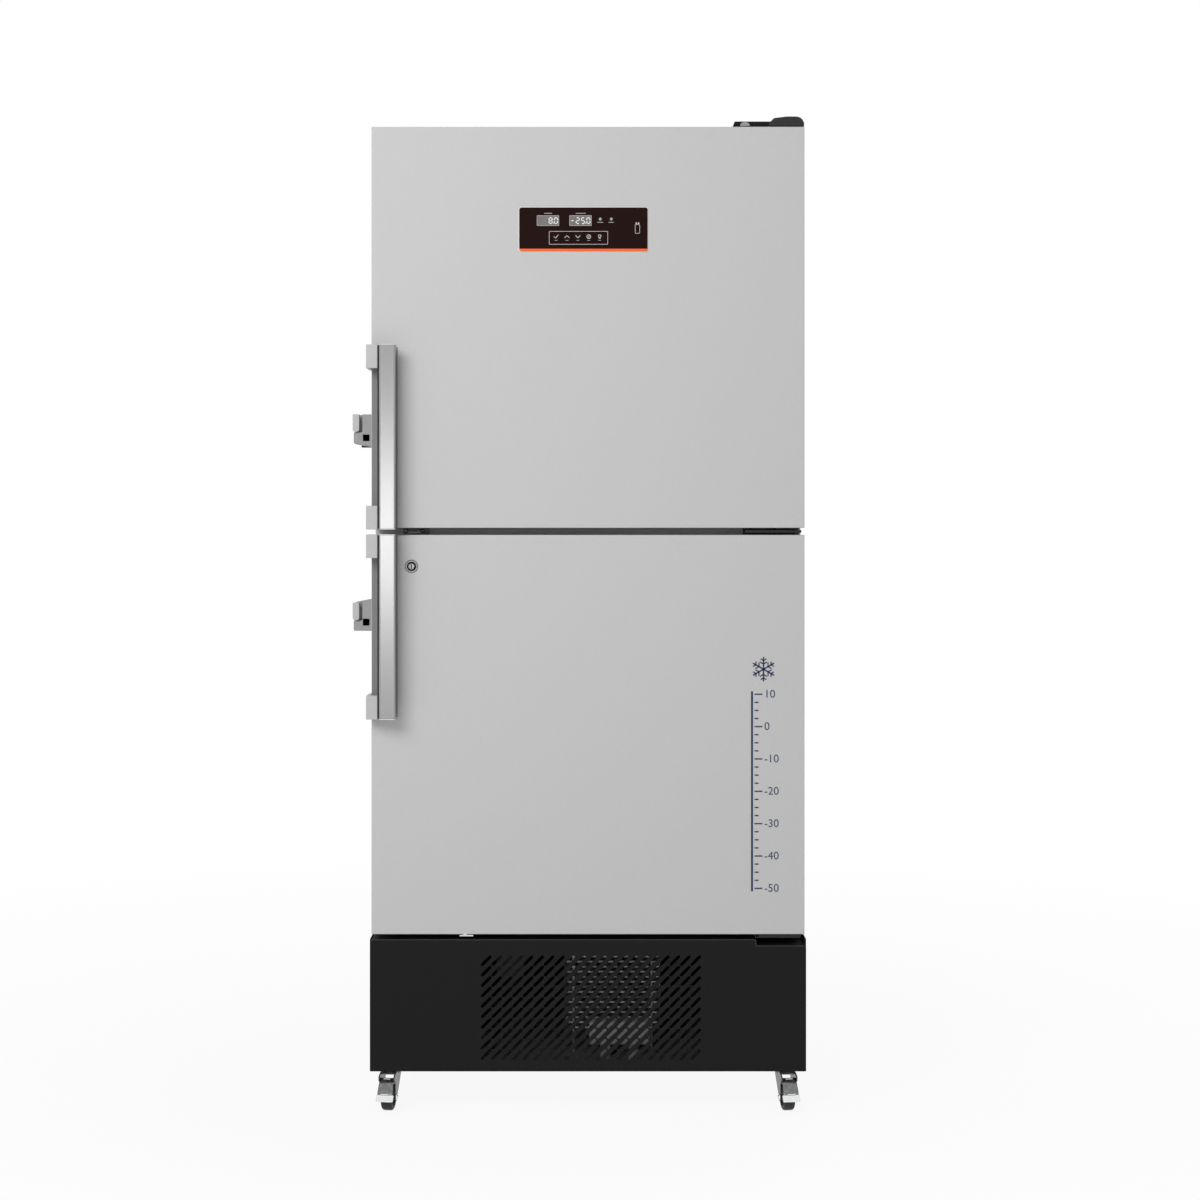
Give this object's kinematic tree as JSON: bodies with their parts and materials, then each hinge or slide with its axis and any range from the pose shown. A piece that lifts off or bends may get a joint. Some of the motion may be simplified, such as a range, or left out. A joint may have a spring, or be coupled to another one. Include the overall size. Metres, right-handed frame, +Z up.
{
  "type": "medical freezer",
  "caption": "Upright two-door laboratory freezer on casters, with insulated rooms, shelves, a display panel, a cam lock and a louvred machine base.",
  "frame": {"origin": "middle of the footprint, on the floor under the casters", "axes": "+Z up, -Y towards the user who faces the doors, +X to that user's right"},
  "size_m": [0.8492, 0.795, 1.866],
  "materials": {
    "casing_paint": "satin",
    "door_paint": "satin",
    "galvanised": "semi-matte",
    "foam": "matte",
    "liner_plastic": "satin",
    "gasket": "matte",
    "satin_metal": "brushed",
    "bracket_plastic": "satin",
    "latch_metal": "satin",
    "latch_tab": "satin",
    "black_plastic": "satin",
    "panel_film": "gloss",
    "lcd": "gloss",
    "key_film": "gloss",
    "chrome": "polished",
    "steel": "brushed",
    "black_steel": "satin",
    "plated": "bright plated",
    "wire_coat": "coated",
    "condenser_metal": "satin",
    "compressor_black": "satin",
    "box_plastic": "satin",
    "fan_plastic": "matte",
    "wheel_rubber": "matte"
  },
  "bodies": {
    "cabinet": {"outer_casing": "casing_paint", "back_panel": "galvanised", "cabinet_insulation": "foam", "upper_liner": "liner_plastic", "lower_liner": "liner_plastic", "centre_mullion": "casing_paint", "access_port": "liner_plastic", "wire_shelves": "wire_coat", "evaporator_covers": "liner_plastic", "base_frame": "galvanised", "base_cover": "black_plastic", "rear_guard": "galvanised", "condenser": "condenser_metal", "fan_shroud": "galvanised", "compressor": "compressor_black", "electrical_boxes": "box_plastic", "latch_keepers": "latch_metal", "lock_keeper": "steel", "top_hinge": "steel", "middle_hinge": "black_steel", "bottom_hinge": "black_steel", "hinge_cover": "black_plastic", "caster_plates": "plated"},
    "fan": {"fan_rotor": "fan_plastic"},
    "upper_door": {"upper_door_skin": "door_paint", "upper_door_foam": "foam", "upper_door_liner": "liner_plastic", "upper_door_gasket": "gasket", "upper_handle_bar": "satin_metal", "upper_handle_brackets": "bracket_plastic", "upper_latch_body": "latch_metal", "display_panel": "panel_film", "display_windows": "lcd"},
    "lower_door": {"lower_door_skin": "door_paint", "lower_door_foam": "foam", "lower_door_liner": "liner_plastic", "lower_door_gasket": "gasket", "lower_handle_bar": "satin_metal", "lower_handle_brackets": "bracket_plastic", "lower_latch_body": "latch_metal", "lock_barrel": "chrome"},
    "upper_latch_paddle": {"upper_latch_paddle": "latch_tab"},
    "lower_latch_paddle": {"lower_latch_paddle": "latch_tab"},
    "lock_cylinder": {"lock_cylinder": "chrome"},
    "lock_bolt": {"lock_bolt": "steel"},
    "tick_key": {"tick_key": "key_film"},
    "up_key": {"up_key": "key_film"},
    "down_key": {"down_key": "key_film"},
    "mute_key": {"mute_key": "key_film"},
    "lamp_key": {"lamp_key": "key_film"},
    "front_left_fork": {"front_left_caster_fork": "plated"},
    "front_left_wheel": {"front_left_caster_wheel": "wheel_rubber"},
    "front_right_fork": {"front_right_caster_fork": "plated"},
    "front_right_wheel": {"front_right_caster_wheel": "wheel_rubber"},
    "rear_left_fork": {"rear_left_caster_fork": "plated"},
    "rear_left_wheel": {"rear_left_caster_wheel": "wheel_rubber"},
    "rear_right_fork": {"rear_right_caster_fork": "plated"},
    "rear_right_wheel": {"rear_right_caster_wheel": "wheel_rubber"},
    "front_left_pedal": {"front_left_brake_pedal": "plated"},
    "front_right_pedal": {"front_right_brake_pedal": "plated"}
  },
  "joints": [
    {"name": "upper_door_swing", "type": "hinge", "parent": "cabinet", "child": "upper_door", "pos_m": [0.4074, -0.3295, 1.47025], "axis": [0, 0, 1], "range_deg": [0, 110]},
    {"name": "lower_door_swing", "type": "hinge", "parent": "cabinet", "child": "lower_door", "pos_m": [0.4074, -0.3295, 0.7085], "axis": [0, 0, 1], "range_deg": [0, 110]},
    {"name": "upper_paddle_turn", "type": "hinge", "parent": "upper_door", "child": "upper_latch_paddle", "pos_m": [-0.41835, -0.3275, 1.288], "axis": [0, 0, -1], "range_deg": [0, 30], "stiffness_Nm_per_rad": 0.02},
    {"name": "lower_paddle_turn", "type": "hinge", "parent": "lower_door", "child": "lower_latch_paddle", "pos_m": [-0.41835, -0.3275, 0.942], "axis": [0, 0, -1], "range_deg": [0, 30], "stiffness_Nm_per_rad": 0.02},
    {"name": "lock_turn", "type": "hinge", "parent": "lower_door", "child": "lock_cylinder", "pos_m": [-0.3136, -0.3495, 1.023], "axis": [0, 1, 0], "range_deg": [0, 90]},
    {"name": "bolt_lift", "type": "slide", "parent": "lower_door", "child": "lock_bolt", "axis": [0, 0, 1], "range_m": [0, 0.008]},
    {"name": "tick_press", "type": "slide", "parent": "upper_door", "child": "tick_key", "axis": [0, 1, 0], "range_m": [0, 0.0005], "stiffness_N_per_m": 2000},
    {"name": "up_press", "type": "slide", "parent": "upper_door", "child": "up_key", "axis": [0, 1, 0], "range_m": [0, 0.0005], "stiffness_N_per_m": 2000},
    {"name": "down_press", "type": "slide", "parent": "upper_door", "child": "down_key", "axis": [0, 1, 0], "range_m": [0, 0.0005], "stiffness_N_per_m": 2000},
    {"name": "mute_press", "type": "slide", "parent": "upper_door", "child": "mute_key", "axis": [0, 1, 0], "range_m": [0, 0.0005], "stiffness_N_per_m": 2000},
    {"name": "lamp_press", "type": "slide", "parent": "upper_door", "child": "lamp_key", "axis": [0, 1, 0], "range_m": [0, 0.0005], "stiffness_N_per_m": 2000},
    {"name": "fan_spin", "type": "hinge", "parent": "cabinet", "child": "fan", "pos_m": [0.0639, -0.1695, 0.2064], "axis": [0, 1, 0], "continuous": true},
    {"name": "front_left_swivel", "type": "hinge", "parent": "cabinet", "child": "front_left_fork", "pos_m": [-0.3556, -0.3025, 0.078], "axis": [0, 0, 1], "continuous": true},
    {"name": "front_left_roll", "type": "hinge", "parent": "front_left_fork", "child": "front_left_wheel", "pos_m": [-0.35866, -0.32429, 0.025], "axis": [0.9903, -0.1392, 0], "continuous": true},
    {"name": "front_left_pedal_tip", "type": "hinge", "parent": "front_left_fork", "child": "front_left_pedal", "pos_m": [-0.36051, -0.33746, 0.05792], "axis": [0.9903, -0.1392, 0], "range_deg": [0, 6], "stiffness_Nm_per_rad": 1},
    {"name": "front_right_swivel", "type": "hinge", "parent": "cabinet", "child": "front_right_fork", "pos_m": [0.3884, -0.3025, 0.078], "axis": [0, 0, 1], "continuous": true},
    {"name": "front_right_roll", "type": "hinge", "parent": "front_right_fork", "child": "front_right_wheel", "pos_m": [0.39146, -0.32429, 0.025], "axis": [0.9903, 0.1392, 0], "continuous": true},
    {"name": "front_right_pedal_tip", "type": "hinge", "parent": "front_right_fork", "child": "front_right_pedal", "pos_m": [0.39331, -0.33746, 0.05792], "axis": [0.9903, 0.1392, 0], "range_deg": [0, 6], "stiffness_Nm_per_rad": 1},
    {"name": "rear_left_swivel", "type": "hinge", "parent": "cabinet", "child": "rear_left_fork", "pos_m": [-0.3556, 0.3355, 0.078], "axis": [0, 0, 1], "continuous": true},
    {"name": "rear_left_roll", "type": "hinge", "parent": "rear_left_fork", "child": "rear_left_wheel", "pos_m": [-0.3556, 0.3135, 0.025], "axis": [1, 0, 0], "continuous": true},
    {"name": "rear_right_swivel", "type": "hinge", "parent": "cabinet", "child": "rear_right_fork", "pos_m": [0.3884, 0.3355, 0.078], "axis": [0, 0, 1], "continuous": true},
    {"name": "rear_right_roll", "type": "hinge", "parent": "rear_right_fork", "child": "rear_right_wheel", "pos_m": [0.3884, 0.3135, 0.025], "axis": [1, 0, 0], "continuous": true}
  ],
  "couplings": [
    {"joint": "bolt_lift", "follows": "lock_turn", "m_per_rad": 0.005093}
  ]
}
